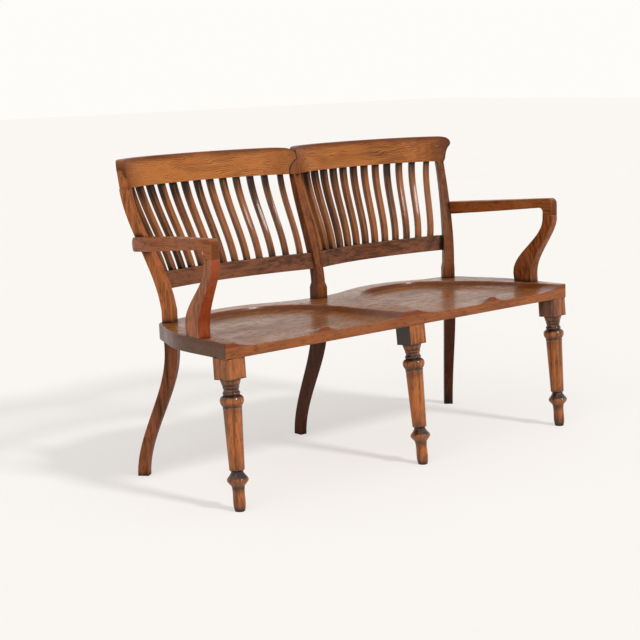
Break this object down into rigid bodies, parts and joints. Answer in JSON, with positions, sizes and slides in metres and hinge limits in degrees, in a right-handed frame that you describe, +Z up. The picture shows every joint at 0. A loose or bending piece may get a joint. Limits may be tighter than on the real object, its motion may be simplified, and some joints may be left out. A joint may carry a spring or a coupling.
{
  "type": "chair-back settee",
  "caption": "Two-seat wooden settee with twin curved slatted chair backs, a long saddled seat, open scrolled arms, turned front legs and swept rear legs.",
  "frame": {"origin": "on the floor, under the middle of the settee's bounding box", "axes": "+X to the right-hand end as seen from behind (along the length), +Y from the front edge towards the back, +Z up; the settee faces -Y"},
  "size_m": [1.322, 0.6404, 0.8908],
  "materials": {
    "seat_oak": "waxed, worn greyish brown oak",
    "crest_oak": "waxed orange-brown oak with a wavy figure",
    "slat_oak": "waxed dark brown oak",
    "post_oak": "waxed orange-brown oak",
    "leg_oak": "waxed golden-brown turned oak",
    "arm_oak": "waxed reddish-brown oak, darkened by hands",
    "dowel_beech": "plain unfinished wood",
    "screw_steel": "dull steel"
  },
  "bodies": {
    "root": {"arm_dowels": "dowel_beech", "arm_left": "arm_oak", "arm_right": "arm_oak", "arm_screws": "screw_steel", "arm_support_left": "arm_oak", "arm_support_right": "arm_oak", "back_post_center": "post_oak", "back_post_left": "post_oak", "back_post_right": "post_oak", "crest_dowels": "dowel_beech", "crest_rail_left": "crest_oak", "crest_rail_right": "crest_oak", "front_leg_center": "leg_oak", "front_leg_left": "leg_oak", "front_leg_right": "leg_oak", "keystone_dowels": "dowel_beech", "lower_rail_left": "slat_oak", "lower_rail_right": "slat_oak", "rear_leg_center": "post_oak", "rear_leg_left": "post_oak", "rear_leg_right": "post_oak", "seat": "seat_oak", "slat_left_01": "slat_oak", "slat_left_02": "slat_oak", "slat_left_03": "slat_oak", "slat_left_04": "slat_oak", "slat_left_05": "slat_oak", "slat_left_06": "slat_oak", "slat_left_07": "slat_oak", "slat_left_08": "slat_oak", "slat_left_09": "slat_oak", "slat_left_10": "slat_oak", "slat_left_11": "slat_oak", "slat_left_12": "slat_oak", "slat_left_13": "slat_oak", "slat_right_01": "slat_oak", "slat_right_02": "slat_oak", "slat_right_03": "slat_oak", "slat_right_04": "slat_oak", "slat_right_05": "slat_oak", "slat_right_06": "slat_oak", "slat_right_07": "slat_oak", "slat_right_08": "slat_oak", "slat_right_09": "slat_oak", "slat_right_10": "slat_oak", "slat_right_11": "slat_oak", "slat_right_12": "slat_oak", "slat_right_13": "slat_oak"}
  },
  "joints": []
}
